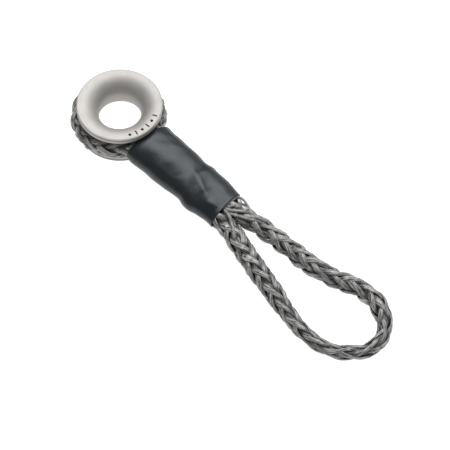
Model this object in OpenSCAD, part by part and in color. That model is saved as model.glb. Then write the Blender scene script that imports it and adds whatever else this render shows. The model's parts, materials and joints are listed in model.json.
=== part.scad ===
// Thimble eye: a grooved low-friction ring held in a spliced rope strop.
// The origin is the centre of the ring's bore, +Z is the bore axis and +X points along
// the strop to its soft loop. The ring stands on its lower flange; the strop droops from
// the groove until its loop lies on the same surface.

/* [Ring] */
// Diameter of the ring's bore
bore_d = 14; // [13:0.5:15]
// Radius of the flare that leads into the bore from each face
flare_r = 5.7; // [5.6:0.1:6]
// Length of the straight land in the middle of the bore
land_l = 1; // [0.8:0.1:1.2]
// Width of the flange outside the crest of the flare
lip_w = 1.45; // [1.3:0.05:1.6]
// Clear height of the rope groove between the flanges
groove_h = 7.6; // [7.4:0.1:7.8]
// Wall between the bore and the floor of the groove
throat_wall = 2.4; // [2.3:0.1:2.6]

/* [Rope] */
// Diameter of the rope where a tail is buried in it
rope_d = 5.8; // [5.6:0.1:5.9]
// Diameter of the buried tail
tail_d = 3.4; // [3:0.1:3.6]
// Distance of each leg's centre from the middle of the sleeve
leg_y = 3.15; // [3.15:0.05:3.25]
// Radius in which each leg bends from the groove into the sleeve
bend_r = 8; // [7.5:0.5:9]
// Angle by which the strop droops from the plane of the ring
droop = 2.5; // [2:0.1:2.5]

/* [Sleeve] */
// Distance of the sleeve's end from the ring's axis
sleeve_start = 14.7; // [14.6:0.1:15]
// Distance of the sleeve's mouth from the ring's axis
mouth_x = 50.8; // [50:0.2:51]
// Wall thickness of the heat-shrink jacket
jacket_wall = 0.45; // [0.4:0.05:0.5]

/* [Lashing] */
// Diameter of the whipping twine
twine_d = 0.7; // [0.6:0.05:0.7]
// Turns in the seizing next to the ring
throat_turns = 9; // [7:1:9]
// Turns in the seizing next to the mouth
mouth_turns = 7; // [5:1:7]
// Diameter of the thread used for stitches and the frapping turn
thread_d = 0.4; // [0.3:0.05:0.4]

/* [Hidden] */
$fn = 64;
fine_fn = 24;
// How far a cutting shape runs past the faces it cuts
cut_past = 0.5;

// Colours
ring_colour = [0.76, 0.75, 0.73];
rope_colour = [0.42, 0.41, 0.40];
tail_colour = [0.50, 0.49, 0.47];
twine_colour = [0.20, 0.20, 0.21];
liner_colour = [0.12, 0.12, 0.13];
jacket_colour = [0.20, 0.22, 0.24];

// Ring
bore_r = bore_d / 2;
crest_r = bore_r + flare_r;
ring_r = crest_r + lip_w;
ring_half_h = land_l / 2 + flare_r;
groove_half_h = groove_h / 2;
groove_floor_r = bore_r + throat_wall;
groove_corner_r = 3.2;
top_edge_r = 0.4;
inner_edge_r = 0.6;
edge_overlap = 0.1;

// Fine line scored round the edge of each flange
score_side = 0.3;
score_z = ring_half_h - 0.9;

// Engraved marks
mark_count = 6;
mark_step = 10.5;
mark_r = 12.45;
mark_depth = 0.22;
dot_d = 1;
tick_w = 0.5;
tick_l = 1.7;

// Rope
rope_r = rope_d / 2;
tail_r = tail_d / 2;
tail_gap = 0.05;
groove_gap = 0.2;
turn_r = groove_floor_r + groove_gap + rope_r;
bend_y = leg_y + bend_r;
bend_x = sqrt((turn_r + bend_r) ^ 2 - bend_y ^ 2);
leave_angle = atan2(bend_y, bend_x);

// Lashing
lay_gap = 0.03;
turn_gap = 0.05;
twine_r = twine_d / 2;
thread_r = thread_d / 2;
turn_pitch = twine_d + turn_gap;
throat_x = 17.6;
throat_l = (throat_turns - 1) * turn_pitch;
mouth_seizing_x = 36.4;
seizing_r = rope_r + lay_gap + twine_r;
standing_end_z = seizing_r - 1.6 * twine_r;
stitch_x = [28, 31, 34];
stitch_hole_gap = 0.05;
stitch_y = leg_y + rope_r + lay_gap + thread_r;

// Inside of the jacket: [distance, shift to +Y, half width, half thickness] along the strop
sleeve_form = [
    [sleeve_start, -0.6, 8.15, 3.65],
    [17, -0.5, 7.9, 4.15],
    [25, -0.2, 7.7, 4.15],
    [30, 0.1, 7.55, 3.6],
    [33.5, 0.3, 7.15, 3.6],
    [37.5, 0.4, 7.6, 3.75],
    [41.5, 0.6, 7.5, 3.75],
    [44.5, 0.7, 7.1, 3.5],
    [47.5, 0.7, 6.85, 3.3],
    [mouth_x, 0.6, 6.75, 3.1]
];
// How far the sleeve's end by the ring reaches back along the leg on the +Y side and the -Y side
reach_a = 0.9;
reach_b = 1.8;
sleeve_steps = 2;
oval_sides = 40;
liner_gap = 0.02;
liner_end_gap = 0.6;

// Hinge line of the soft loop, just outside the mouth
hinge_gap = 0.4;
hinge_x = mouth_x + rope_r + hinge_gap;
hinge_at = [hinge_x * cos(droop), 0, -hinge_x * sin(droop)];

// Route of the soft loop: [x, y, z, radius of the rope]
loop_route = [
    [hinge_at.x, leg_y, hinge_at.z, rope_r],
    [60, 4.8, -2.8, 3],
    [67, 5.8, -3.1, 3],
    [75, 6.4, -3, 3.1],
    [83, 7, -2.9, 3.2],
    [91, 8.7, -3, 3.1],
    [98, 11.7, -3.2, 2.8],
    [104, 12.8, -3.1, 3],
    [109.8, 11.7, -3.1, 3],
    [114.5, 8.9, -3.5, 2.6],
    [117, 5, -3.8, 2.3],
    [117.5, 0.5, -3.9, 2.2],
    [115.8, -4.1, -3.8, 2.3],
    [112.3, -7.8, -3.8, 2.3],
    [107, -10.7, -3.9, 2.2],
    [100, -11.5, -3.7, 2.4],
    [93, -11, -3.5, 2.6],
    [86, -9.7, -3.1, 3],
    [79, -8.1, -2.7, 3.4],
    [72, -6.7, -2.7, 3.4],
    [65, -5.2, -2.8, 3.3],
    [59, -3.7, -2.7, 3.2],
    [hinge_at.x, -leg_y, hinge_at.z, rope_r]
];
// Straight run that leads the route in from each leg
lead_l = 10;
route_steps = 3;
loop_sides = 12;
leg_sides = 32;
tail_sides = 12;
turn_step = 6;
bend_steps = 6;
cap_angles = [20, 40, 60, 80];
// Points of the route that each tail fills
tail_a_points = 8;
tail_b_points = 6;
// Share of a tail's length that tapers, and the share of its radius left at the tip
tail_taper = 0.4;
tail_tip = 0.4;

// ---- Helpers ----

// Puts the strop's own plane into place
module drooped() {
    rotate([0, droop, 0])
        children();
}

// A solid through a list of rings that all have the same number of points
module loft(rings) {
    n = len(rings[0]);
    last = len(rings) - 1;
    points = [for (ring = rings) each ring];
    walls = [
        for (k = [0 : last - 1])
            for (i = [0 : n - 1])
                let (j = (i + 1) % n)
                    each [
                        [k * n + i, (k + 1) * n + i, k * n + j],
                        [k * n + j, (k + 1) * n + i, (k + 1) * n + j]
                    ]
    ];
    first_cap = [for (i = [1 : n - 2]) [0, i, i + 1]];
    last_cap = [for (i = [1 : n - 2]) [last * n, last * n + i + 1, last * n + i]];
    polyhedron(points, concat(walls, first_cap, last_cap), convexity = 10);
}

function unit(v) = v / norm(v);
function xyz(p) = [p[0], p[1], p[2]];

// One value of a Catmull-Rom curve between p1 and p2
function curve_at(p0, p1, p2, p3, t) =
    (2 * p1 + t * (p2 - p0) + t ^ 2 * (2 * p0 - 5 * p1 + 4 * p2 - p3)
        + t ^ 3 * (3 * p1 - p0 - 3 * p2 + p3)) / 2;

// The whole route as a smooth list, with its two ends run straight on along the legs
function smooth(route) =
    let (
        n = len(route),
        lead = lead_l * [cos(droop), 0, -sin(droop), 0],
        p = concat([route[0] - lead], route, [route[n - 1] - lead])
    )
    concat(
        [
            for (i = [1 : n - 1])
                for (k = [0 : route_steps - 1])
                    curve_at(p[i - 1], p[i], p[i + 1], p[i + 2], k / route_steps)
        ],
        [route[n - 1]]
    );

function tangent(path, i) =
    unit(xyz(path[min(i + 1, len(path) - 1)]) - xyz(path[max(i - 1, 0)]));

// A ring of a tube: its centre, its direction, its radius and its number of sides
function tube_ring(at, along, r, sides) =
    let (
        side = unit(cross([0, 0, 1], along)),
        top = cross(along, side)
    )
    [for (i = [0 : sides - 1]) at + r * (cos(i * 360 / sides) * side + sin(i * 360 / sides) * top)];

// Rings along a path whose points are [x, y, z, radius]
function tube_rings(path, sides, grow = 0) =
    [for (i = [0 : len(path) - 1]) tube_ring(xyz(path[i]), tangent(path, i), path[i][3] + grow, sides)];

// Round start of a tube, centred on the path's first point
function round_start(path, sides) =
    let (at = xyz(path[0]), r = path[0][3], along = tangent(path, 0))
    [for (a = backwards(cap_angles)) tube_ring(at - r * sin(a) * along, along, r * cos(a), sides)];

// Round end of a tube, centred on the path's last point
function round_end(path, sides) =
    let (last = len(path) - 1, at = xyz(path[last]), r = path[last][3], along = tangent(path, last))
    [for (a = cap_angles) tube_ring(at + r * sin(a) * along, along, r * cos(a), sides)];

function backwards(list) = [for (i = [len(list) - 1 : -1 : 0]) list[i]];

loop_path = smooth(loop_route);

// The first points of the route that a tail fills, with its radius falling away to the tip
function tail_path(path, points) =
    let (last = points * route_steps)
    [
        for (i = [0 : last])
            let (left = (last - i) / last / tail_taper)
                concat(xyz(path[i]), [tail_r * (left < 1 ? tail_tip + (1 - tail_tip) * left : 1)])
    ];

// ---- Ring ----

module thimble_section() {
    difference() {
        union() {
            for (side = [-1, 1])
                translate([crest_r, side * land_l / 2])
                    circle(flare_r);
            translate([bore_r, -land_l / 2])
                square([flare_r, land_l]);
            translate([crest_r, -ring_half_h])
                square([lip_w - top_edge_r, 2 * ring_half_h]);
            translate([crest_r, top_edge_r - ring_half_h])
                square([lip_w, 2 * (ring_half_h - top_edge_r)]);
            for (side = [-1, 1])
                translate([ring_r - top_edge_r, side * (ring_half_h - top_edge_r)])
                    circle(top_edge_r, $fn = fine_fn);
        }
        groove_section();
        for (side = [-1, 1])
            translate([ring_r, side * score_z])
                rotate(45)
                    square(score_side, center = true);
        translate([ring_r, -ring_half_h - cut_past])
            square([flare_r, 2 * (ring_half_h + cut_past)]);
    }
}

module groove_section() {
    straight = groove_half_h - groove_corner_r;
    depth = ring_r - groove_floor_r;
    for (side = [-1, 1])
        translate([groove_floor_r + groove_corner_r, side * straight])
            circle(groove_corner_r);
    translate([groove_floor_r, -straight])
        square([depth + cut_past, 2 * straight]);
    translate([groove_floor_r + groove_corner_r, -groove_half_h])
        square([depth, groove_h]);
    for (side = [0, 1])
        mirror([0, side])
            translate([ring_r - inner_edge_r, groove_half_h])
                difference() {
                    translate([0, -edge_overlap])
                        square([2 * inner_edge_r, inner_edge_r + edge_overlap]);
                    translate([0, inner_edge_r])
                        circle(inner_edge_r, $fn = fine_fn);
                }
}

// Neutral maker's-mark area: a row of engraved dots and ticks facing the strop
module engraved_marks() {
    for (i = [0 : mark_count - 1])
        rotate((i - (mark_count - 1) / 2) * mark_step)
            translate([mark_r, 0, ring_half_h - mark_depth])
                if (i % 2 == 0)
                    cylinder(d = dot_d, h = mark_depth + cut_past);
                else
                    translate([-tick_l / 2, -tick_w / 2, 0])
                        cube([tick_l, tick_w, mark_depth + cut_past]);
}

module thimble_ring() {
    color(ring_colour)
        difference() {
            rotate_extrude($fn = 96)
                thimble_section();
            engraved_marks();
        }
}

// ---- Rope held by the ring and the sleeve ----

// The turn round the groove, from one leg to the other
module rope_turn() {
    color(rope_colour)
        drooped()
            rotate(leave_angle)
                rotate_extrude(angle = 360 - 2 * leave_angle)
                    translate([turn_r, 0])
                        difference() {
                            circle(rope_r);
                            circle(tail_r + tail_gap);
                        }
}

// Rings of a tube of radius r round the groove, from the back of the ring to a leg
function half_turn_rings(r, sides) =
    let (steps = ceil((180 - leave_angle) / turn_step))
    [
        for (i = [0 : steps - 1])
            let (a = 180 - (180 - leave_angle) * i / steps)
                tube_ring(turn_r * [cos(a), sin(a), 0], [sin(a), -cos(a), 0], r, sides)
    ];

// Rings of a tube of radius r along one leg, from the groove to past the mouth
function leg_rings(r, sides, overrun = 0) =
    concat(
        [
            for (i = [0 : bend_steps])
                let (
                    b = 180 + leave_angle + (90 - leave_angle) * i / bend_steps,
                    at = [bend_x, bend_y, 0] + bend_r * [cos(b), sin(b), 0]
                )
                    tube_ring(at, [-sin(b), cos(b), 0], r, sides)
        ],
        [tube_ring([mouth_x + overrun, leg_y, 0], [1, 0, 0], r, sides)]
    );

// Start of a cutting tube, a little way back into the turn
function leg_lead(r, sides) =
    let (
        out = [cos(leave_angle), sin(leave_angle), 0],
        along = [sin(leave_angle), -cos(leave_angle), 0]
    )
    [tube_ring(turn_r * out - 2 * cut_past * along, along, r, sides)];

// A cutting tube along one leg that runs on past both its ends
module leg_space(r) {
    loft(concat(leg_lead(r, leg_sides), leg_rings(r, leg_sides, cut_past)));
}

module stitch_holes() {
    for (x = stitch_x)
        translate([x, 0, 0])
            rotate([90, 0, 0])
                cylinder(r = thread_r + stitch_hole_gap, h = 2 * stitch_y, center = true, $fn = fine_fn);
}

module rope_leg() {
    difference() {
        loft(leg_rings(rope_r, leg_sides));
        leg_space(tail_r + tail_gap);
        stitch_holes();
    }
}

module tail_in_eye() {
    difference() {
        loft(concat(half_turn_rings(tail_r, tail_sides), leg_rings(tail_r, tail_sides)));
        stitch_holes();
    }
}

module rope_leg_a() {
    color(rope_colour)
        drooped()
            rope_leg();
}

module rope_leg_b() {
    color(rope_colour)
        drooped()
            mirror([0, 1, 0])
                rope_leg();
}

module tail_a_in_eye() {
    color(tail_colour)
        drooped()
            tail_in_eye();
}

module tail_b_in_eye() {
    color(tail_colour)
        drooped()
            mirror([0, 1, 0])
                tail_in_eye();
}

// ---- Lashings under the sleeve ----

// A closed turn of twine round both legs, in the plane across the strop
module round_turn(r, thick_r) {
    rotate([90, 0, 90]) {
        for (side = [-1, 1]) {
            translate([side * leg_y, 0, 0])
                rotate(-90 * side)
                    rotate_extrude(angle = 180)
                        translate([r, 0])
                            circle(thick_r, $fn = fine_fn);
            translate([-leg_y, side * r, 0])
                rotate([0, 90, 0])
                    cylinder(r = thick_r, h = 2 * leg_y, $fn = fine_fn);
        }
    }
}

// Turns side by side, with the standing end of the twine laid under them
module seizing(start_x, turns) {
    for (i = [0 : turns - 1])
        translate([start_x + i * turn_pitch, 0, 0])
            round_turn(seizing_r, twine_r);
    translate([start_x, 0, standing_end_z])
        rotate([0, 90, 0])
            cylinder(r = twine_r, h = (turns - 1) * turn_pitch, $fn = fine_fn);
}

module throat_seizing() {
    color(twine_colour)
        drooped()
            seizing(throat_x, throat_turns);
}

module mouth_seizing() {
    color(twine_colour)
        drooped()
            seizing(mouth_seizing_x, mouth_turns);
}

// A straight run of thread with round ends
module run(from, to) {
    along = to - from;
    l = norm(along);
    for (end = [from, to])
        translate(end)
            sphere(thread_r, $fn = fine_fn);
    translate(from)
        rotate([0, acos(along.z / l), atan2(along.y, along.x)])
            cylinder(r = thread_r, h = l, $fn = fine_fn);
}

// The turn that passes between the legs and tightens the throat seizing
module frapping_turn() {
    x0 = throat_x - twine_r - lay_gap - thread_r;
    x1 = throat_x + throat_l + twine_r + lay_gap + thread_r;
    z = seizing_r + twine_r + lay_gap + thread_r;
    corners = [[x0, 0, z], [x1, 0, z], [x1, 0, -z], [x0, 0, -z]];
    color(twine_colour)
        drooped()
            for (i = [0 : 3])
                run(corners[i], corners[(i + 1) % 4]);
}

// Stitches that pass through both legs and the tails inside them
module lock_stitching() {
    last = len(stitch_x) - 1;
    color(twine_colour)
        drooped() {
            for (x = stitch_x)
                run([x, -stitch_y, 0], [x, stitch_y, 0]);
            for (i = [0 : last - 1])
                let (side = i % 2 == 0 ? 1 : -1)
                    run([stitch_x[i], side * stitch_y, 0], [stitch_x[i + 1], side * stitch_y, 0]);
        }
}

// ---- Sleeve ----

// An oval across the strop. Its two sides reach back from x where reach is 1
function oval(x, shift, w, t, reach = 0) =
    [
        for (i = [0 : oval_sides - 1])
            let (
                a = (i + 0.5) * 360 / oval_sides,
                side = cos(a) > 0 ? 1 : -1,
                back = reach * (side > 0 ? reach_a : reach_b) * cos(a) ^ 2
            )
                [x - back, shift + side * (w - t) + t * cos(a), t * sin(a)]
    ];

function eased(a, b, t) = a + (b - a) * (1 - cos(180 * t)) / 2;

// Ovals along the sleeve, grown outwards, with the ends moved along the strop
function sleeve_rings(grow, ends) =
    let (last = len(sleeve_form) - 1)
    [
        for (i = [0 : last - 1])
            for (k = [0 : i == last - 1 ? sleeve_steps : sleeve_steps - 1])
                let (
                    p = sleeve_form[i],
                    q = sleeve_form[i + 1],
                    t = k / sleeve_steps,
                    first = i == 0 && k == 0,
                    final = i == last - 1 && k == sleeve_steps,
                    x = p[0] + (q[0] - p[0]) * t + (first ? -ends : final ? ends : 0)
                )
                    oval(
                        x,
                        eased(p[1], q[1], t),
                        eased(p[2], q[2], t) + grow,
                        eased(p[3], q[3], t) + grow,
                        first ? 1 : 0
                    )
    ];

module shrink_jacket() {
    color(jacket_colour)
        drooped()
            difference() {
                loft(sleeve_rings(jacket_wall, 0));
                loft(sleeve_rings(0, cut_past));
            }
}

// Hot-melt lining that fills the space between the jacket and the rope
module adhesive_liner() {
    color(liner_colour)
        drooped()
            difference() {
                loft(sleeve_rings(-liner_gap, -liner_end_gap));
                for (side = [0, 1])
                    mirror([0, side, 0])
                        leg_space(rope_r + liner_gap);
                seizing_space(throat_x, throat_turns);
                seizing_space(mouth_seizing_x, mouth_turns);
                frapping_space();
                stitching_space();
            }
}

// Room for a seizing, as one band round both legs
module seizing_space(start_x, turns) {
    band_r = seizing_r + twine_r + liner_gap;
    band_l = (turns - 1) * turn_pitch + twine_d + 2 * liner_gap;
    translate([start_x - twine_r - liner_gap, 0, 0])
        rotate([90, 0, 90])
            linear_extrude(band_l) {
                for (side = [-1, 1])
                    translate([side * leg_y, 0])
                        circle(band_r);
                square([2 * leg_y, 2 * band_r], center = true);
            }
}

module frapping_space() {
    w = thread_d + 2 * liner_gap;
    l = throat_l + twine_d + 2 * (lay_gap + thread_d + liner_gap);
    h = 2 * (seizing_r + twine_r + lay_gap + thread_d + liner_gap);
    translate([throat_x + throat_l / 2, 0, 0])
        cube([l, w, h], center = true);
}

module stitching_space() {
    w = thread_d + 2 * liner_gap;
    first = stitch_x[0];
    last = stitch_x[len(stitch_x) - 1];
    translate([(first + last) / 2, 0, 0])
        cube([last - first + w, 2 * stitch_y + w, w], center = true);
}

// ---- Soft loop ----

// The hollow that a tail fills, open at the hinge end of the loop
function channel_rings(path) =
    let (along = tangent(path, 0))
    concat(
        [tube_ring(xyz(path[0]) - 2 * rope_r * along, along, path[0][3] + tail_gap, tail_sides)],
        tube_rings(path, tail_sides, tail_gap)
    );

tail_a_path = tail_path(loop_path, tail_a_points);
tail_b_path = tail_path(backwards(loop_path), tail_b_points);

module rope_loop() {
    color(rope_colour)
        difference() {
            loft(
                concat(
                    round_start(loop_path, loop_sides),
                    tube_rings(loop_path, loop_sides),
                    round_end(loop_path, loop_sides)
                )
            );
            loft(channel_rings(tail_a_path));
            loft(channel_rings(tail_b_path));
        }
}

module tail_a_in_loop() {
    color(tail_colour)
        loft(tube_rings(tail_a_path, tail_sides));
}

module tail_b_in_loop() {
    color(tail_colour)
        loft(tube_rings(tail_b_path, tail_sides));
}

thimble_ring();
rope_turn();
rope_leg_a();
rope_leg_b();
tail_a_in_eye();
tail_b_in_eye();
throat_seizing();
frapping_turn();
lock_stitching();
mouth_seizing();
adhesive_liner();
shrink_jacket();
rope_loop();
tail_a_in_loop();
tail_b_in_loop();
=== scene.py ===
"""Looks of the thimble eye: a satin grooved ring held in a twelve-strand braided strop.

Sizes are in metres, or in mm where a comment says so, in the CAD frame: the origin is the centre of
the ring's bore, +Z is the bore axis and +X runs along the strop from the ring to the soft loop.
"""

import json
import math

import bpy
import numpy as np
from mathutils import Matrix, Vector


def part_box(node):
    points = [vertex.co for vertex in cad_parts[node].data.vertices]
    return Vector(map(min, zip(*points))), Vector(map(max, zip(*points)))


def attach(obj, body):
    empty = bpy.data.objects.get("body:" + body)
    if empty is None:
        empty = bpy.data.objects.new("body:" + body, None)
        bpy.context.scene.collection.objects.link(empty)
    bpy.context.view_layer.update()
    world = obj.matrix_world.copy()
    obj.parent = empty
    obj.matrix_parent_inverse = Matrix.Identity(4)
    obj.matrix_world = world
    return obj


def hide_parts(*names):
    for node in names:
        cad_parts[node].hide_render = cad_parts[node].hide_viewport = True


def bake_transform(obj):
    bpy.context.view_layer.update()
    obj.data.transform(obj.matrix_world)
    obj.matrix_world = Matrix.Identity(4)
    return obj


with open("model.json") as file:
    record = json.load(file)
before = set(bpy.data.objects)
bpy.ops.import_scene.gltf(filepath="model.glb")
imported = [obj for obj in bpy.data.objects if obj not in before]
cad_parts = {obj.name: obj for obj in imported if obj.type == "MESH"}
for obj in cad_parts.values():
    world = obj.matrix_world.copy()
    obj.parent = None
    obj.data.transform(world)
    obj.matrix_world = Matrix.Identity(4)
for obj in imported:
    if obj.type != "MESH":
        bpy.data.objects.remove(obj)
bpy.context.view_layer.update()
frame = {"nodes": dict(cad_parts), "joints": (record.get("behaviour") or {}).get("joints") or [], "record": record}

MM = 0.001

# ---- Sizes from the frame ----
RING_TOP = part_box("thimble_ring")[1].z
RING_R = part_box("thimble_ring")[1].x
FLOOR_Z = -RING_TOP
# Soft pieces stay this far from what they press against
CONTACT_GAP = 0.03 * MM
ROPE_R = 2.9 * MM
TURN_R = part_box("rope_turn")[1].y - ROPE_R
# The rope groove: its floor, a little inside the rope, its half height and its two round corners
GROOVE_GAP = 0.2 * MM
GROOVE_FLOOR_R = TURN_R - ROPE_R - GROOVE_GAP
GROOVE_HALF_H = 3.8 * MM
GROOVE_CORNER_R = 3.2 * MM
LEG_Y = 3.15 * MM
BEND_R = 8 * MM
SPLICE_X = 48 * MM
HINGE = Vector(next(j["pos_m"] for j in frame["joints"] if j["name"] == "loop_bend"))
DROOP = math.atan2(-HINGE.z, HINGE.x)

# Route of the soft loop: (x, y, z, radius of the rope)
LOOP_ROUTE = [
    (0.05405, 0.00315, -0.00236, 0.0029),
    (0.060, 0.0048, -0.0028, 0.0030),
    (0.067, 0.0058, -0.0031, 0.0030),
    (0.075, 0.0064, -0.0030, 0.0031),
    (0.083, 0.0070, -0.0029, 0.0032),
    (0.091, 0.0087, -0.0030, 0.0031),
    (0.098, 0.0117, -0.0032, 0.0028),
    (0.104, 0.0128, -0.0031, 0.0030),
    (0.1098, 0.0117, -0.0031, 0.0030),
    (0.1145, 0.0089, -0.0035, 0.0026),
    (0.117, 0.0050, -0.0038, 0.0023),
    (0.1175, 0.0005, -0.0039, 0.0022),
    (0.1158, -0.0041, -0.0038, 0.0023),
    (0.1123, -0.0078, -0.0038, 0.0023),
    (0.107, -0.0107, -0.0039, 0.0022),
    (0.100, -0.0115, -0.0037, 0.0024),
    (0.093, -0.0110, -0.0035, 0.0026),
    (0.086, -0.0097, -0.0031, 0.0030),
    (0.079, -0.0081, -0.0027, 0.0034),
    (0.072, -0.0067, -0.0027, 0.0034),
    (0.065, -0.0052, -0.0028, 0.0033),
    (0.059, -0.0037, -0.0027, 0.0032),
    (0.05405, -0.00315, -0.00236, 0.0029),
]

# ---- Camera ----
VIEW_AZIMUTH = math.radians(46.7)
VIEW_ELEVATION = math.radians(58.5)
VIEW_DISTANCE = 0.828
VIEW_TARGET = Vector((0.0547, -0.0040, 0))
LENS_MM = 206.3


def from_camera_angles(azimuth, elevation):
    """Unit vector towards a place seen at that azimuth and elevation."""
    flat = math.cos(elevation)
    return Vector((math.sin(azimuth) * flat, -math.cos(azimuth) * flat, math.sin(elevation)))


def add_camera():
    data = bpy.data.cameras.new("camera")
    data.lens = LENS_MM
    data.sensor_width = 36
    data.clip_start = 0.05
    camera = bpy.data.objects.new("camera", data)
    bpy.context.scene.collection.objects.link(camera)
    back = from_camera_angles(VIEW_AZIMUTH, VIEW_ELEVATION)
    camera.location = VIEW_TARGET + VIEW_DISTANCE * back
    camera.rotation_euler = back.to_track_quat("Z", "Y").to_euler()
    bpy.context.scene.camera = camera


# ---- Paths ----
STEP = 0.45 * MM
ROUTE_STEPS = 12
SLACK_ROUTE_STEPS = 40
# Behind the ring the eye's rope lies lower: where that begins, over what length, and by how much
SETTLE_START_X = 10 * MM
SETTLE_SPAN = 14 * MM
SETTLE_DEPTH = 1.0 * MM
# On the ring's -Y side it is slack: where that begins and over what lengths, and what it changes
SLACK_START_X = 9 * MM
SLACK_SPAN_X = 8 * MM
SLACK_START_Y = 6 * MM
SLACK_SPAN_Y = 12 * MM
SLACK_REACH = 0.022
SLACK_SPREAD = 0.12
EYE_SPREAD = 1.04
# Next to the sleeve the soft loop's two sides spread: (middle, half length) in mm, and the share
SIDE_A_PLACE = (52, 5)
SIDE_A_SPREAD = 0.34
SIDE_B_PLACE = (56.5, 4.5)
SIDE_B_SPREAD = 0.12
SIDE_B_SHIFT = 0.4 * MM


def drooped(points):
    """Turns points of the strop's own plane into place, about the Y axis through the origin."""
    points = np.asarray(points, float)
    c, s = math.cos(DROOP), math.sin(DROOP)
    x = points[:, 0] * c + points[:, 2] * s
    z = points[:, 2] * c - points[:, 0] * s
    return np.column_stack([x, points[:, 1], z])


def evenly(points, values=None):
    """The same line with its points STEP apart, and the values that go with them."""
    points = np.asarray(points, float)
    gaps = np.linalg.norm(np.diff(points, axis=0), axis=1)
    along = np.concatenate([[0], np.cumsum(gaps)])
    count = int(round(along[-1] / STEP)) + 1
    at = np.linspace(0, along[-1], count)
    line = np.column_stack([np.interp(at, along, points[:, i]) for i in range(3)])
    return line, None if values is None else np.interp(at, along, values)


def arc(centre, radius, start, end, steps=60):
    angles = np.linspace(start, end, steps + 1)
    return [(centre[0] + radius * math.cos(a), centre[1] + radius * math.sin(a), 0) for a in angles]


def eye_line():
    """The rope from the mouth, along one leg, round the groove and back along the other leg."""
    bend_y = LEG_Y + BEND_R
    bend_x = math.sqrt((TURN_R + BEND_R) ** 2 - bend_y**2)
    leave = math.atan2(bend_y, bend_x)
    leg_a = arc((bend_x, bend_y), BEND_R, math.pi + leave, math.pi * 1.5)
    leg_a.append((SPLICE_X, LEG_Y, 0))
    leg_b = [(x, -y, z) for x, y, z in reversed(leg_a)]
    turn = arc((0, 0), TURN_R, 2 * math.pi - leave, leave, 200)
    return drooped(leg_b[:-1] + turn + leg_a[1:])


def settled(line):
    """The eye's line let down on the lower flange, and how far the rope spreads there."""
    behind = np.clip((SETTLE_START_X - line[:, 0]) / SETTLE_SPAN, 0, 1)
    line[:, 2] -= SETTLE_DEPTH * behind**2 * (3 - 2 * behind)
    slack = np.clip((SLACK_START_X - line[:, 0]) / SLACK_SPAN_X, 0, 1)
    slack *= np.clip((SLACK_START_Y - line[:, 1]) / SLACK_SPAN_Y, 0, 1)
    line[:, :2] *= 1 + SLACK_REACH * slack[:, None]
    return line, EYE_SPREAD + SLACK_SPREAD * slack


def curve_points(route, steps):
    """Points of a Catmull-Rom curve through the route."""
    p = np.array(route)
    points = []
    for i in range(1, len(p) - 2):
        p0, p1, p2, p3 = p[i - 1 : i + 3]
        for t in np.arange(steps) / steps:
            points.append(
                (2 * p1 + t * (p2 - p0) + t**2 * (2 * p0 - 5 * p1 + 4 * p2 - p3)
                 + t**3 * (3 * p1 - p0 - 3 * p2 + p3)) / 2
            )
    points.append(p[-2])
    return np.array(points)


# Strands that stand off the braid where it leaves the sleeve: (half thickness, route)
SLACK_STRANDS = [
    (0.40 * MM, [
        (0.0450, 0.0045, -0.0010),
        (0.0462, 0.0054, -0.0010),
        (0.0486, 0.0065, -0.0008),
        (0.0504, 0.0071, -0.0008),
        (0.0518, 0.0072, -0.0008),
        (0.0534, 0.0069, -0.0009),
        (0.0550, 0.0064, -0.0010),
        (0.0562, 0.0059, -0.0009),
        (0.0580, 0.0050, -0.0006),
        (0.0592, 0.0040, -0.0010),
    ]),
    (0.62 * MM, [
        (0.0440, -0.0008, -0.0004),
        (0.0470, -0.0004, 0.0000),
        (0.0512, 0.0006, 0.0003),
        (0.0527, 0.0014, 0.0005),
        (0.0547, 0.0031, 0.0005),
        (0.0561, 0.0044, 0.0000),
        (0.0575, 0.0053, -0.0008),
        (0.0590, 0.0060, -0.0020),
        (0.0600, 0.0062, -0.0030),
    ]),
    (0.55 * MM, [
        (0.0440, 0.0002, -0.0004),
        (0.0475, 0.0006, 0.0000),
        (0.0506, 0.0014, 0.0004),
        (0.0512, 0.0024, 0.0006),
        (0.0519, 0.0040, 0.0003),
        (0.0525, 0.0056, -0.0006),
        (0.0535, 0.0064, -0.0020),
        (0.0545, 0.0066, -0.0030),
    ]),
    (0.62 * MM, [
        (0.0480, -0.0012, -0.0004),
        (0.0510, -0.0006, 0.0000),
        (0.0546, 0.0010, 0.0001),
        (0.0561, 0.0017, 0.0004),
        (0.0585, 0.0030, 0.0002),
        (0.0606, 0.0046, -0.0004),
        (0.0625, 0.0060, -0.0015),
        (0.0640, 0.0070, -0.0030),
    ]),
    (0.62 * MM, [
        (0.0470, 0.0000, -0.0004),
        (0.0500, -0.0002, 0.0001),
        (0.0529, -0.0007, 0.0003),
        (0.0550, -0.0017, 0.0003),
        (0.0576, -0.0032, 0.0003),
        (0.0600, -0.0049, 0.0000),
        (0.0620, -0.0062, -0.0010),
        (0.0635, -0.0070, -0.0025),
    ]),
]


def swelling(x, place):
    """1 in the middle of a place on the strop, down to 0 past its ends."""
    middle, half_length = place
    return np.exp(-(((x / MM - middle) / half_length) ** 2))


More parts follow.
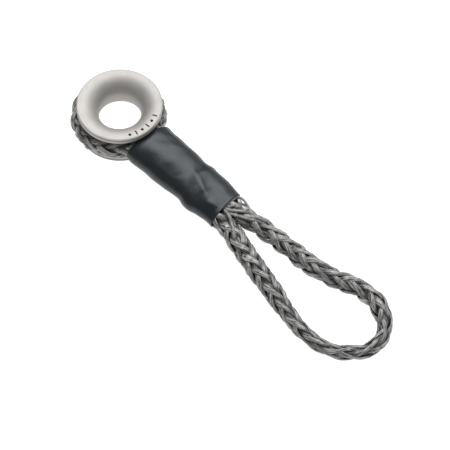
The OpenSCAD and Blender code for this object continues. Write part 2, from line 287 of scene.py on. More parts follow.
def loop_line():
    """The soft loop's line, the rope's radius, and how far it spreads sideways at the mouth."""
    ends = [
        [*drooped([(SPLICE_X, side * LEG_Y, 0)])[0], ROPE_R]
        for side in (1, -1)
    ]
    start, end = np.array(ends)
    beyond = np.array([-0.01, 0, 0, 0])
    route = [start + beyond, start, *LOOP_ROUTE, end, end + beyond]
    points = curve_points(route, ROUTE_STEPS)
    line, radius = evenly(points[:, :3], points[:, 3])
    x, y = line[:, 0], line[:, 1]
    spread_a = SIDE_A_SPREAD * swelling(x, SIDE_A_PLACE)
    near_b = swelling(x, SIDE_B_PLACE)
    line[:, 1] += np.where(y < 0, SIDE_B_SHIFT * near_b, 0)
    widen = 1 + np.where(y > 0, spread_a, SIDE_B_SPREAD * near_b)
    return line, radius, widen


# ---- Braid ----
STRANDS_EACH_WAY = 6
SECTION_POINTS = 26
# Each strand starts this far along the fibres' pattern from the one before
STRAND_UV_SHIFT = 37.0
LOOP_STRAND_PER_TURN = 42 * MM
EYE_STRAND_PER_TURN = 33 * MM
FULLNESS = 1.035
# The sleeve squeezes the rope by this share, and its grip fades out over the last of its length
SQUEEZE = 0.09
SQUEEZE_FADE = 2 * MM
SLEEVE_START_X = 17 * MM
SLEEVE_END_X = 50 * MM
# Where the rope is thinner by this much it has been drawn down, and its lay is longer by this share
DRAWN_DOWN_BY = 0.6 * MM
DRAWN_DOWN_LAY = 0.3
# Sizes inside the rope, as shares of its radius: the core, the strands' mean distance from the
# middle, how far they weave in and out of it, and their own half thickness and half width
CORE_R = 0.68
MID_R = 0.70
WEAVE = 0.145
OUTER_HALF = 0.160
INNER_HALF = 0.140
HALF_WIDTH = 0.335
# How abruptly a strand goes from over to under
WEAVE_SHARPNESS = 2
# How much a strand wraps round the rope, and how narrow an unruly one is
STRAND_WRAP = 0.38
UNRULY_NARROWS = 0.3
# The yarns of a strand
YARN_RELIEF = 0.075
YARNS = 8
YARN_LAY = 9 * MM
LAST_YARN_START = 6
# How far the braid strays from an even lay: (samples from one change to the next, amount)
PICK_STRAY = (16, 0.22)
TURN_STRAY = (12, 0.15)
RADIUS_STRAY = (10, 0.055)
LEAN_STRAY = (12, 0.35)
WIDTH_STRAY = (9, 0.07)
THICKNESS_STRAY = (9, 0.28)
TWIST_STRAY = (9, 1.2)
# A strand's crown is what stands out past this share of the radius, and the core is in its shade: the colour is
# painted darker the lower the crown, as shade between the strands
CROWN_FROM = 0.55
CORE_CROWN = 0.22
# Now and then a strand's crown gets a painted highlight, near-white, where this stray rises past the level
GLINT_STRAY = (5, 3.0)
GLINT_FROM = 2.3
GLINT_MOST = 0.35
# In the groove the crowns are painted darker, as shade in the groove, up to this distance from the bore's axis
GROOVE_SHADE_R = 13.2 * MM
GROOVE_SHADE_FADE = 2 * MM
GROOVE_CROWN = 0.7
# The buried tails in the soft loop
TAIL_R = 1.65 * MM
TAIL_END_R = 0.7 * MM
TAIL_TAPER = 15 * MM
# Strands that stand off the braid: width and height against their size, relief and crown; the crown paints their
# tops lighter and their undersides darker, as light and shade
SLACK_WIDTH = 1.2
SLACK_HEIGHT = 0.8
SLACK_YARN_RELIEF = 0.22
SLACK_CROWN = 0.50
SLACK_CROWN_SWING = 0.38

# How sharply a painted highlight ends
PAINTED_HIGHLIGHT_SHARPNESS = 1.6
# Painted highlights, near-white on the crowns next to the mouth: (place, radius)
PAINTED_HIGHLIGHTS = [
    ((0.0503, 0.00545, 0.0001), 0.0013),
    ((0.0541, 0.0055, -0.0001), 0.0012),
    ((0.0555, -0.0040, 0.0003), 0.0006),
]


def wander(rng, count, stray, unruly=1):
    """Smooth random values, one per sample, that stray as the pair says, or more if unruly."""
    spacing = stray[0]
    amount = stray[1] * unruly
    knots = rng.uniform(-amount, amount, count // spacing + 4)
    at = np.arange(count) / spacing
    i = at.astype(int)
    t = at - i
    t = t * t * (3 - 2 * t)
    return knots[i] * (1 - t) + knots[i + 1] * t


def unit_rows(v):
    return v / np.linalg.norm(v, axis=1, keepdims=True)


class Strands:
    """Strands of one piece, all with the same number of samples and section points."""

    def __init__(self):
        self.rings = []
        self.crown = []
        self.valley = []
        self.painted_highlight = []
        self.along = []

    def add(self, rings, centre, crown, valley, painted_highlight):
        rings = clear_of_ring(rings)
        rings[..., 2] += clear_of_floor(rings)[:, None]
        self.rings.append(rings)
        self.crown.append(crown)
        self.valley.append(valley)
        # Painted highlights, only on the strands' crowns
        self.painted_highlight.append(np.maximum(painted_highlight, near_painted_highlight(rings)) * crown)
        self.along.append(np.cumsum(np.linalg.norm(np.gradient(centre, axis=0), axis=1)))


def clear_of_floor(rings):
    """How far each section has to rise to lie on the floor, not in it."""
    return np.maximum(FLOOR_Z + CONTACT_GAP - rings[..., 2].min(axis=1), 0)


def clear_of_ring(rings):
    """The same points, with those that would go into the ring moved back to the groove's wall."""
    r = np.hypot(rings[..., 0], rings[..., 1])
    z = rings[..., 2]
    straight = GROOVE_HALF_H - GROOVE_CORNER_R
    past_corner = np.minimum(r - GROOVE_FLOOR_R - GROOVE_CORNER_R, 0)
    past_straight = z - np.clip(z, -straight, straight)
    room = GROOVE_CORNER_R - CONTACT_GAP + np.maximum(r - RING_R, 0)
    keep = room / np.maximum(np.hypot(past_corner, past_straight), room)
    new_r = r - past_corner * (1 - keep)
    new_z = z - past_straight * (1 - keep)
    return np.stack([rings[..., 0] * new_r / r, rings[..., 1] * new_r / r, new_z], axis=-1)


def near_painted_highlight(rings):
    """1 in the middle of a painted highlight, down to 0 outside it."""
    mask = np.zeros(rings.shape[:2])
    for place, radius in PAINTED_HIGHLIGHTS:
        away = np.linalg.norm(rings - np.array(place), axis=2)
        mask = np.maximum(mask, np.clip(PAINTED_HIGHLIGHT_SHARPNESS * (1 - away / radius), 0, 1))
    return mask


def section(rng, count, way):
    """Angles round one strand's section, and how far each point is down between two yarns."""
    around = 2 * math.pi * np.arange(SECTION_POINTS) / SECTION_POINTS
    twist = way * 2 * math.pi * np.arange(count) * STEP / YARN_LAY + wander(rng, count, TWIST_STRAY)
    twist = twist + rng.uniform(0, LAST_YARN_START)
    valley = 0.5 - 0.5 * np.cos(YARNS * around[None, :] + twist[:, None])
    return around, valley


def braid(line, radius, widen, strand_per_turn, unruly, seed):
    """Six strands each way round a line, each over two and under two of the others."""
    rng = np.random.default_rng(seed)
    count = len(line)
    gripped = np.clip((SLEEVE_END_X - line[:, 0]) / SQUEEZE_FADE, 0, 1) * (line[:, 0] > SLEEVE_START_X)
    radius = radius * FULLNESS * (1 - SQUEEZE * gripped)
    along = unit_rows(np.gradient(line, axis=0))
    side = unit_rows(np.cross([0, 0, 1], along))
    top = np.cross(along, side)
    drawn_down = np.clip((ROPE_R - radius) / DRAWN_DOWN_BY, 0, 1)
    lay = np.sqrt(strand_per_turn**2 - (2 * math.pi * MID_R * radius) ** 2)
    lay = lay * (1 + DRAWN_DOWN_LAY * drawn_down)
    picks = np.cumsum(2 * STRANDS_EACH_WAY * STEP / lay)
    picks = picks + wander(rng, count, PICK_STRAY)

    strands = Strands()
    for way in (1, -1):
        for k in range(STRANDS_EACH_WAY):
            turn = 2 * math.pi * (k / STRANDS_EACH_WAY + way * picks / (2 * STRANDS_EACH_WAY))
            turn = turn + wander(rng, count, TURN_STRAY)
            over_under = np.cos(math.pi / 2 * (way * picks + 2 * k - 0.5))
            weave = way * np.tanh(WEAVE_SHARPNESS * over_under) / math.tanh(WEAVE_SHARPNESS)
            r = radius * (MID_R + WEAVE * weave + wander(rng, count, RADIUS_STRAY, unruly))
            out = (np.cos(turn) * widen)[:, None] * side + np.sin(turn)[:, None] * top
            add_strand(strands, rng, line, radius, r, out, way, unruly)
    add_core(strands, rng, line, radius, widen, side, top)
    return strands


def add_strand(strands, rng, line, radius, r, out, way, unruly):
    """One strand at distance r from the rope's line in the direction out, flat across the rope."""
    count = len(line)
    centre = line + r[:, None] * out
    out = unit_rows(out)
    run = unit_rows(np.gradient(centre, axis=0))
    up = unit_rows(out - (out * run).sum(1, keepdims=True) * run)
    lean = wander(rng, count, LEAN_STRAY, unruly)[:, None]
    wide = unit_rows(np.cross(run, up) + lean * up)
    up = np.cross(wide, run)
    half_w = radius * (HALF_WIDTH / unruly**UNRULY_NARROWS + wander(rng, count, WIDTH_STRAY, unruly))
    thickness = 1 + wander(rng, count, THICKNESS_STRAY, unruly)
    around, valley = section(rng, count, way)
    across, height = np.cos(around), np.sin(around)
    outer_half = OUTER_HALF + YARN_RELIEF * (0.5 - valley)
    half_h = np.where(height > 0, outer_half, INNER_HALF) * thickness[:, None] * radius[:, None]
    a = half_w[:, None] * across[None, :]
    b = half_h * height[None, :] - STRAND_WRAP * a**2 / r[:, None]
    rings = centre[:, None] + a[..., None] * wide[:, None] + b[..., None] * up[:, None]
    lift = np.linalg.norm(rings - line[:, None], axis=2) / radius[:, None]
    # The crown sets painted shade: points nearer the rope's middle are painted darker
    crown = np.clip((lift - CROWN_FROM) / (1 - CROWN_FROM), 0, 1)
    # Painted highlight: now and then a strand's crown turns near-white
    glint = np.clip(wander(rng, count, GLINT_STRAY) - GLINT_FROM, 0, GLINT_MOST)[:, None]
    strands.add(rings, centre, crown, valley, glint)


def add_core(strands, rng, line, radius, widen, side, top):
    """The tube that fills the rope inside its strands."""
    around, valley = section(rng, len(line), 1)
    sideways = (np.cos(around) * widen[:, None])[..., None] * side[:, None]
    upwards = np.sin(around)[:, None] * top[:, None]
    rings = line[:, None] + CORE_R * radius[:, None, None] * (sideways + upwards)
    # The core is painted dark as shade, at a low crown
    strands.add(rings, line, np.full(valley.shape, CORE_CROWN), valley, 0.0)


def buried_tail(node, side, seed):
    """The drawn-down end of the rope inside one side of the soft loop, tapered where it stops."""
    start, stop = (corner.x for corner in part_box(node))
    line = side[(side[:, 0] > start) & (side[:, 0] < stop)]
    left = np.arange(len(line))[::-1] * STEP
    radius = TAIL_END_R + (TAIL_R - TAIL_END_R) * np.clip(left / TAIL_TAPER, 0, 1)
    strands = braid(line, radius, np.ones(len(line)), LOOP_STRAND_PER_TURN, 1.0, seed)
    return strands_mesh(node + "_braid", strands)


def add_slack_strand(strands, route, radius, seed):
    """One strand that stands off the braid, drawn with the same samples as the others."""
    rng = np.random.default_rng(seed)
    count = strands.rings[0].shape[0]
    curve = curve_points(route, SLACK_ROUTE_STEPS)
    at = np.linspace(0, len(curve) - 1, count)
    centre = np.column_stack([np.interp(at, np.arange(len(curve)), curve[:, i]) for i in range(3)])
    run = unit_rows(np.gradient(centre, axis=0))
    wide = unit_rows(np.cross(run, [0, 0, 1]))
    up = np.cross(wide, run)
    around, valley = section(rng, count, 1)
    size = radius * (1 - SLACK_YARN_RELIEF * valley)
    rings = (
        centre[:, None]
        + (size * SLACK_WIDTH * np.cos(around))[..., None] * wide[:, None]
        + (size * SLACK_HEIGHT * np.sin(around))[..., None] * up[:, None]
    )
    # Painted light and shade: the strand's top lighter, its underside darker
    crown = np.tile(SLACK_CROWN + SLACK_CROWN_SWING * np.sin(around), (count, 1))
    strands.add(rings, centre, crown, valley, 0.0)


def shade_groove(strands):
    """Paints shade on the rope in the groove: its crowns are darker there, less so where they stand out of it."""
    for rings, crown in zip(strands.rings, strands.crown):
        out = np.hypot(rings[..., 0], rings[..., 1])
        clear = np.clip((out - GROOVE_SHADE_R) / GROOVE_SHADE_FADE, 0, 1)
        # Painted shade: the crowns in the groove are darkened
        crown *= GROOVE_CROWN + (1 - GROOVE_CROWN) * clear


def strands_mesh(name, braided):
    """One mesh of closed tubes, with the fibres' own UV map, how each point lies in the braid, which sets its
    painted shade, and its painted highlights.
    """
    rings = np.array(braided.rings)
    strands, samples, sides = rings.shape[:3]
    index = np.arange(strands * samples * sides).reshape(strands, samples, sides)
    following = np.roll(index, -1, axis=2)
    walls = np.stack(
        [index[:, :-1], following[:, :-1], following[:, 1:], index[:, 1:]], axis=-1
    ).reshape(-1, 4)
    faces = walls.tolist()
    faces += [index[s, 0, ::-1].tolist() for s in range(strands)]
    faces += [index[s, -1].tolist() for s in range(strands)]
    mesh = bpy.data.meshes.new(name)
    mesh.from_pydata(rings.reshape(-1, 3).tolist(), [], faces)

    u = np.array(braided.along)[:, :, None] / MM + STRAND_UV_SHIFT * np.arange(strands)[:, None, None]
    v = np.arange(sides) / sides
    corners = np.empty((strands, samples - 1, sides, 4, 2))
    corners[..., 0, 0] = corners[..., 1, 0] = u[:, :-1]
    corners[..., 2, 0] = corners[..., 3, 0] = u[:, 1:]
    corners[..., 0, 1] = corners[..., 3, 1] = v
    corners[..., 1, 1] = corners[..., 2, 1] = v + 1 / sides
    flat = np.zeros((len(mesh.loops), 2))
    flat[: corners.size // 2] = corners.reshape(-1, 2)
    mesh.uv_layers.new(name="fibre").data.foreach_set("uv", flat.ravel())
    for label in ("crown", "valley", "painted_highlight"):
        values = np.array(getattr(braided, label), dtype=np.float32)
        mesh.attributes.new(label, "FLOAT", "POINT").data.foreach_set("value", values.ravel())
    mesh.polygons.foreach_set("use_smooth", [True] * len(mesh.polygons))
    mesh.update()
    return add_piece(name, mesh)


def add_piece(name, mesh):
    piece = bpy.data.objects.new(name, mesh)
    bpy.context.scene.collection.objects.link(piece)
    return piece


# ---- Jacket ----
JACKET_WALL = 0.45 * MM
JACKET_SIDES = 160
# Places of its rings from end to end, with close pairs that keep the cut edges crisp
JACKET_SHARES = np.concatenate([[0, 0.002], np.linspace(0.01, 0.99, 240), [0.998, 1]])
JACKET_SQUARENESS = 2.35
UNDERSIDE_SAG = 0.25 * MM
# Its ring end is cut on a slant and a little saddled; its mouth is slanted and wavy
RING_END_X = 14.3 * MM
RING_END_SLANT = 0.8 * MM
RING_END_SADDLE = 0.3 * MM
MOUTH_END_X = 49.9 * MM
MOUTH_SLANT = 0.85 * MM
MOUTH_WAVE = 0.1 * MM
# Small lumps of the shrunk skin: their lengths, and how far they stand out sideways and upwards
LUMP_LENGTHS = (1.9 * MM, 4.1 * MM, 1.1 * MM)
LUMP_SIDEWAYS = 0.035 * MM
LUMP_UPWARDS = 0.025 * MM
# Outside of the jacket, in mm: (distance, reach to +Y, reach to -Y, half thickness)
JACKET_FORM = [
    (12.5, 8.15, 9.10, 4.10),
    (15.0, 8.15, 9.30, 4.45),
    (18.0, 7.98, 8.90, 4.72),
    (21.0, 8.12, 8.62, 4.78),
    (25.0, 8.12, 8.45, 4.75),
    (30.0, 8.28, 7.98, 4.40),
    (33.5, 8.00, 7.40, 4.25),
    (36.3, 8.62, 7.28, 4.35),
    (38.5, 8.52, 7.80, 4.40),
    (40.8, 8.48, 7.82, 4.35),
    (43.5, 8.62, 7.02, 4.20),
    (45.5, 8.45, 6.65, 4.10),
    (48.0, 8.06, 6.35, 3.90),
    (50.8, 8.05, 6.45, 3.72),
]
# A fold is this share of its height at its two ends, and falls away down the jacket's sides
FOLD_END_SHARE = 0.55
FOLD_FALL = 0.6
# Ridges and creases on top, over what lies inside: (from, to, half width, height), all in mm
JACKET_FOLDS = [
    ((16.5, -1.5), (31.5, -0.2), 3.0, 0.42),
    ((33.8, 1.5), (42.8, -1.7), 2.4, 0.46),
    ((33.8, 1.7), (42.8, -1.5), 1.0, 0.18),
    ((44.6, -2.4), (49.0, -2.9), 2.1, 0.40),
    ((31.6, -4.0), (34.8, 4.6), 1.6, -0.10),
    ((18.5, 5.6), (22.0, 6.2), 0.9, 0.14),
    ((25.0, 6.0), (27.5, 6.4), 0.8, 0.12),
    ((23.0, -6.6), (28.0, -6.0), 1.2, 0.14),
]


def jacket_ends(around):
    """Where the jacket starts and stops at each angle round it."""
    c, s = np.cos(around), np.sin(around)
    start = RING_END_X + RING_END_SLANT * (c - s) + RING_END_SADDLE * (c**2 - s**2)
    stop = MOUTH_END_X - MOUTH_SLANT * c + MOUTH_WAVE * np.cos(3 * around)
    return start, stop


def fold_height(x, y):
    """Height of the ridges and creases at a place on top of the jacket."""
    height = np.zeros_like(x)
    for start, end, half_width, rise in JACKET_FOLDS:
        ax, ay = start[0] * MM, start[1] * MM
        dx, dy = end[0] * MM - ax, end[1] * MM - ay
        t = ((x - ax) * dx + (y - ay) * dy) / (dx**2 + dy**2)
        t = np.clip(t, 0, 1)
        away = np.hypot(x - ax - t * dx, y - ay - t * dy)
        taper = FOLD_END_SHARE + (1 - FOLD_END_SHARE) * np.sin(math.pi * t)
        height += rise * MM * taper * np.exp(-((away / (half_width * MM)) ** 2))
    return height


def jacket_points(share, around, grow):
    """Points of the jacket's skin. share runs from 0 at the ring end to 1 at the mouth."""
    form = np.array(JACKET_FORM) * MM
    start, stop = jacket_ends(around)
    x = start + (stop - start) * share
    reach = [smooth_interp(x, form[:, 0], form[:, i]) for i in (1, 2, 3)]
    middle = (reach[0] - reach[1]) / 2
    half_w = (reach[0] + reach[1]) / 2 + grow
    half_t = reach[2] + grow
    c, s = np.cos(around), np.sin(around)
    half_t = half_t + np.where(s < 0, UNDERSIDE_SAG, 0)
    y = middle + half_w * np.sign(c) * np.abs(c) ** (2 / JACKET_SQUARENESS)
    z = half_t * np.sign(s) * np.abs(s) ** (2 / JACKET_SQUARENESS)
    short, long, fine = (x / length for length in LUMP_LENGTHS)
    lumps = np.sin(short + 2 * c) * np.sin(3 * around + long) + np.sin(fine + 5 * around)
    z = z + fold_height(x, y) * np.maximum(s, 0) ** FOLD_FALL
    y = y + LUMP_SIDEWAYS * lumps * c
    z = z + LUMP_UPWARDS * lumps * s
    points = drooped(np.column_stack([x, y, z]))
    points[:, 2] = np.maximum(points[:, 2], FLOOR_Z + CONTACT_GAP - grow)
    return points


def smooth_interp(x, xs, ys):
    """Values of a smooth curve through the points, with no overshoot."""
    slope = np.gradient(ys, xs)
    i = np.clip(np.searchsorted(xs, x) - 1, 0, len(xs) - 2)
    step = xs[i + 1] - xs[i]
    t = np.clip((x - xs[i]) / step, 0, 1)
    return (
        ys[i] * (1 + 2 * t) * (1 - t) ** 2
        + ys[i + 1] * (3 - 2 * t) * t**2
        + step * t * (1 - t) * (slope[i] * (1 - t) - slope[i + 1] * t)
    )


def jacket():
    around = 2 * math.pi * (np.arange(JACKET_SIDES) + 0.5) / JACKET_SIDES
    outer = [jacket_points(share, around, 0) for share in JACKET_SHARES]
    inner = [jacket_points(share, around, -JACKET_WALL) for share in JACKET_SHARES]
    rings = np.array(outer + inner[::-1])
    count = len(rings)
    index = np.arange(count * JACKET_SIDES).reshape(count, JACKET_SIDES)
    following = np.roll(index, -1, axis=0)
    faces = np.stack(
        [index, following, np.roll(following, -1, axis=1), np.roll(index, -1, axis=1)], axis=-1
    ).reshape(-1, 4)
    mesh = bpy.data.meshes.new("heat_shrink_sleeve")
    mesh.from_pydata(rings.reshape(-1, 3).tolist(), [], faces.tolist())
    mesh.polygons.foreach_set("use_smooth", [True] * len(mesh.polygons))
    mesh.update()
    return add_piece("heat_shrink_sleeve", mesh)


# ---- Materials ----
class Shader:
    """A new material with a Principled shader, and short ways to add and join nodes."""

    def __init__(self, name):
        self.material = bpy.data.materials.new(name)
        self.material.use_nodes = True
        self.tree = self.material.node_tree
        self.surface = self.tree.nodes["Principled BSDF"]

    def put(self, socket, value):
        if isinstance(value, bpy.types.NodeSocket):
            self.tree.links.new(value, socket)
        elif socket.type == "RGBA":
            socket.default_value = (*value, 1)
        else:
            socket.default_value = value

    def set(self, **values):
        for name, value in values.items():
            self.put(self.surface.inputs[name.replace("_", " ")], value)

    def add(self, kind, inputs=None, **settings):
        node = self.tree.nodes.new(kind)
        for key, value in settings.items():
            setattr(node, key, value)
        for key, value in (inputs or {}).items():
            self.put(node.inputs[key], value)
        return node

    def place(self):
        return self.add("ShaderNodeTexCoord").outputs["Object"]

    def attribute(self, name):
        return self.add("ShaderNodeAttribute", attribute_name=name).outputs["Fac"]

    def noise(self, vector, scale, detail=3, stretch=(1, 1, 1)):
        mapping = self.add("ShaderNodeMapping", {"Vector": vector, "Scale": stretch})
        inputs = {"Vector": mapping.outputs["Vector"], "Scale": scale, "Detail": detail}
        return self.add("ShaderNodeTexNoise", inputs).outputs["Fac"]

    def weave(self, vector, scale, distortion):
        """Slanting bands, as on laid twine or a fine braid."""
        inputs = {"Vector": vector, "Scale": scale, "Distortion": distortion}
        return self.add("ShaderNodeTexWave", inputs, bands_direction="DIAGONAL").outputs["Fac"]

    def ramp(self, factor, *stops):
        """Stops are (position, colour) or (position, grey)."""
        node = self.add("ShaderNodeValToRGB", {"Fac": factor})
        elements = node.color_ramp.elements
        while len(elements) < len(stops):
            elements.new(1)
        for element, (at, colour) in zip(elements, stops):
            rgb = colour if isinstance(colour, tuple) else (colour, colour, colour)
            element.position = at
            element.color = (*rgb, 1)
        return node.outputs["Color"]

    def mix(self, factor, a, b, blend="MIX"):
        node = self.add("ShaderNodeMix", data_type="RGBA", blend_type=blend)
        for socket, value in ((node.inputs[0], factor), (node.inputs[6], a), (node.inputs[7], b)):
            self.put(socket, value)
        return node.outputs[2]

    def times(self, *factors):
        """The factors multiplied, colour by colour."""
        product = factors[0]
        for factor in factors[1:]:
            product = self.mix(1.0, product, factor, "MULTIPLY")
        return product

    def maths(self, operation, a, b=0.0):
        return self.add("ShaderNodeMath", {0: a, 1: b}, operation=operation).outputs[0]

    def bumps(self, *layers):
        """Bumps one on another: (height, strength, distance in metres)."""
        normal = None
        for height, strength, distance in layers:
            inputs = {"Height": height, "Strength": strength, "Distance": distance}
            if normal:
                inputs["Normal"] = normal
            normal = self.add("ShaderNodeBump", inputs).outputs["Normal"]
        self.put(self.surface.inputs["Normal"], normal)


def rope_material():
    """Grey coated braid: painted shade between strands and yarns, streaked, patchy, and painted highlights
    near-white on some crowns.
    """
    shader = Shader("coated_braid")
    fibre = shader.add("ShaderNodeUVMap", uv_map="fibre").outputs["UV"]
    # Painted shade: dark down between the strands, light on their crowns
    depth = shader.ramp(
        shader.attribute("crown"), (0, 0.012), (0.45, 0.09), (0.75, 0.40), (1, (0.80, 0.775, 0.74))
    )
    # Painted shade in the valleys between the yarns
    yarns = shader.ramp(shader.attribute("valley"), (0, 1.0), (0.5, 0.80), (1, 0.26))
    streak = shader.noise(fibre, 1.0, 3, (0.22, 12, 1))
    fine = shader.noise(fibre, 1.0, 3, (0.35, 34, 1))
    patch = shader.noise(shader.place(), 620, 3)
    streaks = shader.ramp(streak, (0.34, 0.20), (0.5, 0.74), (0.66, 1.0))
    fibres = shader.ramp(fine, (0.36, 0.45), (0.64, 1.0))
    patches = shader.ramp(patch, (0.36, 0.42), (0.5, 0.85), (0.64, 1.0))
    colour = shader.times(depth, yarns, streaks, fibres, patches)
    # Painted highlights: near-white where the highlight attribute is set
    colour = shader.mix(shader.attribute("painted_highlight"), colour, (0.86, 0.85, 0.82))
    shader.set(
        Base_Color=colour,
        Roughness=shader.ramp(streak, (0.3, 0.26), (0.7, 0.45)),
        Specular_IOR_Level=0.65,
        Coat_Weight=0.3,
        Coat_Roughness=0.2,
    )
    shader.bumps((fine, 0.6, 0.05 * MM), (streak, 0.6, 0.14 * MM))
    return shader.material


def tail_material():
    """Drawn-down braid inside the rope: the same fibres, painted darker as shade inside the rope, with a fine
    diagonal weave.
    """
    shader = Shader("drawn_tail")
    place = shader.place()
    weave = shader.weave(place, 260, 1.5)
    fibres = shader.noise(place, 900, 4, (0.15, 1, 1))
    # Painted shade: darker than the braid outside, for lying inside the rope
    colour = shader.mix(weave, (0.05, 0.05, 0.05), (0.16, 0.157, 0.15))
    colour = shader.mix(0.5, colour, shader.ramp(fibres, (0.3, 0.03), (0.7, 0.2)))
    shader.set(Base_Color=colour, Roughness=0.5)
    shader.bumps((weave, 0.6, 0.1 * MM), (fibres, 0.4, 0.04 * MM))
    return shader.material


def twine_material():
    """Waxed whipping twine with its own lay."""
    shader = Shader("waxed_twine")
    lay = shader.weave(shader.place(), 700, 0.6)
    colour = shader.mix(lay, (0.010, 0.010, 0.011), (0.045, 0.045, 0.048))
    shader.set(Base_Color=colour, Roughness=0.38, Coat_Weight=0.3, Coat_Roughness=0.3)
    shader.bumps((lay, 0.7, 0.04 * MM))
    return shader.material


def adhesive_material():
    """Set hot-melt adhesive: nearly black, glossy and a little lumpy."""
    shader = Shader("set_adhesive")
    lumps = shader.noise(shader.place(), 500, 3)
    shader.set(
        Base_Color=shader.ramp(lumps, (0.3, (0.006, 0.006, 0.007)), (0.7, (0.018, 0.018, 0.02))),
        Roughness=shader.ramp(lumps, (0.3, 0.22), (0.7, 0.4)),
    )
    shader.bumps((lumps, 0.6, 0.15 * MM))
    return shader.material


def jacket_material():
    """Heat-shrink polyolefin: dark blue-grey satin with a fine orange-peel skin and faint scuffs."""
    shader = Shader("heat_shrink")
    place = shader.place()
    skin = shader.noise(place, 2600, 3)
    swell = shader.noise(place, 160, 2)
    scuffs = shader.noise(place, 900, 4, (0.12, 1, 1))
    tint = shader.ramp(swell, (0.3, (0.005, 0.007, 0.009)), (0.7, (0.010, 0.013, 0.015)))
    colour = shader.mix(shader.ramp(scuffs, (0.58, 0.0), (0.8, 0.35)), tint, (0.03, 0.034, 0.037))
    shader.set(
        Base_Color=colour,
        Roughness=shader.ramp(scuffs, (0.3, 0.27), (0.8, 0.36)),
        Specular_IOR_Level=0.42,
        Specular_Tint=(0.90, 0.96, 1.0),
    )
    shader.bumps((swell, 0.35, 0.5 * MM), (skin, 0.25, 0.02 * MM))
    return shader.material


def ring_material():
    """Bead-blasted, anodised aluminium, with dark paint in the engraved marks and a painted shade line under each
    flange's top edge.
    """
    shader = Shader("anodised_ring")
    place = shader.place()
    grain = shader.noise(place, 5200, 2)
    cloud = shader.noise(place, 190, 3)
    colour = shader.ramp(cloud, (0.3, (0.415, 0.402, 0.385)), (0.7, (0.465, 0.451, 0.433)))
    # Painted shade: a dark line just under each flange's top edge
    painted_edge_shade = shader.maths("MULTIPLY", painted_edge_shade_mask(shader, place), 0.85)
    colour = shader.mix(painted_edge_shade, colour, (0.05, 0.048, 0.045))
    colour = shader.mix(mark_mask(shader, place), colour, (0.025, 0.023, 0.022))
    shader.set(
        Base_Color=colour,
        Metallic=0.9,
        Roughness=shader.ramp(grain, (0.3, 0.58), (0.7, 0.68)),
    )
    shader.bumps((cloud, 0.1, 0.1 * MM), (grain, 0.35, 0.02 * MM))
    return shader.material


# The engraved marks: depth, the ring of the flange that they lie in, and the paint's two heights
MARK_FLOOR_DEPTH = 0.22 * MM
MARK_INNER_R = 11.45 * MM
MARK_OUTER_R = 13.45 * MM
MARK_PAINT_BELOW = 0.02 * MM
MARK_PAINT_ABOVE = 0.07 * MM
# A painted shade line round the edge of each flange
EDGE_LINE_R = 13.7 * MM
EDGE_LINE_Z = 5.72 * MM
EDGE_LINE_HALF = 0.1 * MM


def ring_coordinates(shader, place):
    """Distance from the bore's axis, and height."""
    axes = shader.add("ShaderNodeSeparateXYZ", {"Vector": place}).outputs
    flat = shader.add("ShaderNodeCombineXYZ", {"X": axes["X"], "Y": axes["Y"]}).outputs["Vector"]
    r = shader.add("ShaderNodeVectorMath", {0: flat}, operation="LENGTH").outputs["Value"]
    return r, axes["Z"]


def all_of(shader, *tests):
    """1 where every test holds, else 0."""
    mask = tests[0]
    for test in tests[1:]:
        mask = shader.maths("MULTIPLY", mask, test)
    return mask


def mark_mask(shader, place):
    """1 on the floors of the engraved marks and the foot of their walls, 0 elsewhere."""
    r, z = ring_coordinates(shader, place)
    floor_z = RING_TOP - MARK_FLOOR_DEPTH
    return all_of(
        shader,
        shader.maths("GREATER_THAN", r, MARK_INNER_R),
        shader.maths("LESS_THAN", r, MARK_OUTER_R),
        shader.maths("GREATER_THAN", z, floor_z - MARK_PAINT_BELOW),
        shader.maths("LESS_THAN", z, floor_z + MARK_PAINT_ABOVE),
    )


def painted_edge_shade_mask(shader, place):
    """1 on a fine line round the edge of each flange, painted dark as shade under its top edge."""
    r, z = ring_coordinates(shader, place)
    height = shader.maths("ABSOLUTE", z)
    return all_of(
        shader,
        shader.maths("GREATER_THAN", r, EDGE_LINE_R),
        shader.maths("GREATER_THAN", height, EDGE_LINE_Z - EDGE_LINE_HALF),
        shader.maths("LESS_THAN", height, EDGE_LINE_Z + EDGE_LINE_HALF),
    )


# ---- Stage ----
FLOOR_HALF = 1.5
# The floor is just clear of the ring that stands on it
FLOOR_DROP = 0.02 * MM
WORLD_STRENGTH = 0.40
# Square lights that face the object: (name, azimuth, elevation, distance, side, power)
LIGHTS = [
    ("key", 228, 60, 0.9, 0.72, 7.4),
    ("fill", 178, 28, 1.0, 1.0, 2.2),
]


def add_floor():
    mesh = bpy.data.meshes.new("floor")
    z = FLOOR_Z - FLOOR_DROP
    corners = [(x * FLOOR_HALF, y * FLOOR_HALF, z) for x, y in ((-1, -1), (1, -1), (1, 1), (-1, 1))]
    mesh.from_pydata(corners, [], [(0, 1, 2, 3)])
    floor = add_piece("floor", mesh)
    shader = Shader("pale_floor")
    paper = shader.noise(shader.place(), 60, 3)
    shader.set(
        Base_Color=shader.ramp(paper, (0.3, 0.40), (0.7, 0.42)),
        Roughness=0.9,
        Emission_Color=(1, 1, 1),
        Emission_Strength=0.95,
    )
    mesh.materials.append(shader.material)


def add_light(name, azimuth, elevation, distance, size, power):
    data = bpy.data.lights.new(name, "AREA")
    data.energy = power
    data.size = size
    light = bpy.data.objects.new(name, data)
    bpy.context.scene.collection.objects.link(light)
    towards = from_camera_angles(math.radians(azimuth), math.radians(elevation))
    light.location = VIEW_TARGET + distance * towards
    light.rotation_euler = towards.to_track_quat("Z", "Y").to_euler()


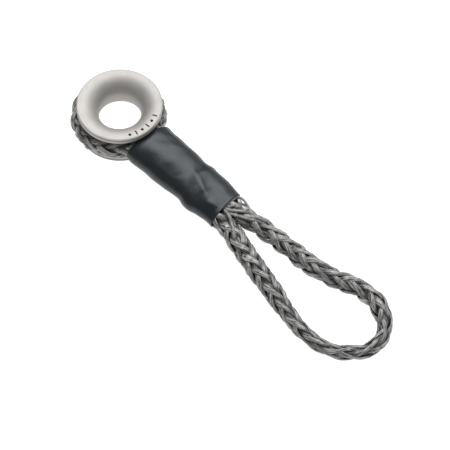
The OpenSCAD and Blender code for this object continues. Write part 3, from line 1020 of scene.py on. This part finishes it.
def add_lights():
    world = bpy.data.worlds.new("studio")
    world.use_nodes = True
    background = world.node_tree.nodes["Background"].inputs
    background["Color"].default_value = (1, 1, 1, 1)
    background["Strength"].default_value = WORLD_STRENGTH
    bpy.context.scene.world = world
    for light in LIGHTS:
        add_light(*light)
    bpy.context.scene.view_settings.view_transform = "Standard"


# ---- The pieces ----
LOOP_UNRULY = 1.25
EYE_UNRULY = 1.6
SLACK_SEED = 50
TAIL_SEED = 70

add_camera()

loop_points, loop_radius, loop_widen = loop_line()
loop_strands = braid(
    loop_points, loop_radius, loop_widen, LOOP_STRAND_PER_TURN, LOOP_UNRULY, seed=7
)
for number, (thickness, route) in enumerate(SLACK_STRANDS):
    add_slack_strand(loop_strands, route, thickness, seed=SLACK_SEED + number)
soft_loop = strands_mesh("soft_loop_braid", loop_strands)
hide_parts("rope_loop")
sides = {
    "tail_a_in_loop": loop_points[loop_points[:, 1] > 0],
    "tail_b_in_loop": loop_points[loop_points[:, 1] < 0][::-1],
}
tails = []
for number, (node, side) in enumerate(sides.items()):
    tail = buried_tail(node, side, seed=TAIL_SEED + number)
    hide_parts(node)
    tails.append(tail)
for piece in (soft_loop, *tails):
    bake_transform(piece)

eye_points, _ = evenly(eye_line())
eye_points, eye_widen = settled(eye_points)
eye_radius = np.full(len(eye_points), ROPE_R)
eye_strands = braid(eye_points, eye_radius, eye_widen, EYE_STRAND_PER_TURN, EYE_UNRULY, seed=11)
shade_groove(eye_strands)
eye = strands_mesh("eye_braid", eye_strands)
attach(eye, "strop")
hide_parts("rope_turn", "rope_leg_a", "rope_leg_b")

sleeve = jacket()
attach(sleeve, "strop")
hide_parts("shrink_jacket")

rope_look = rope_material()
for piece in (soft_loop, eye, *tails):
    piece.data.materials.append(rope_look)
sleeve.data.materials.append(jacket_material())

LOOKS = {
    "ring": ring_material(),
    "tail": tail_material(),
    "twine": twine_material(),
    "adhesive": adhesive_material(),
}
for part in frame["record"]["subparts"]:
    look = LOOKS.get(part["material_slot"])
    if look:
        for material_slot in frame["nodes"][part["node"]].material_slots:
            material_slot.material = look

add_floor()
add_lights()
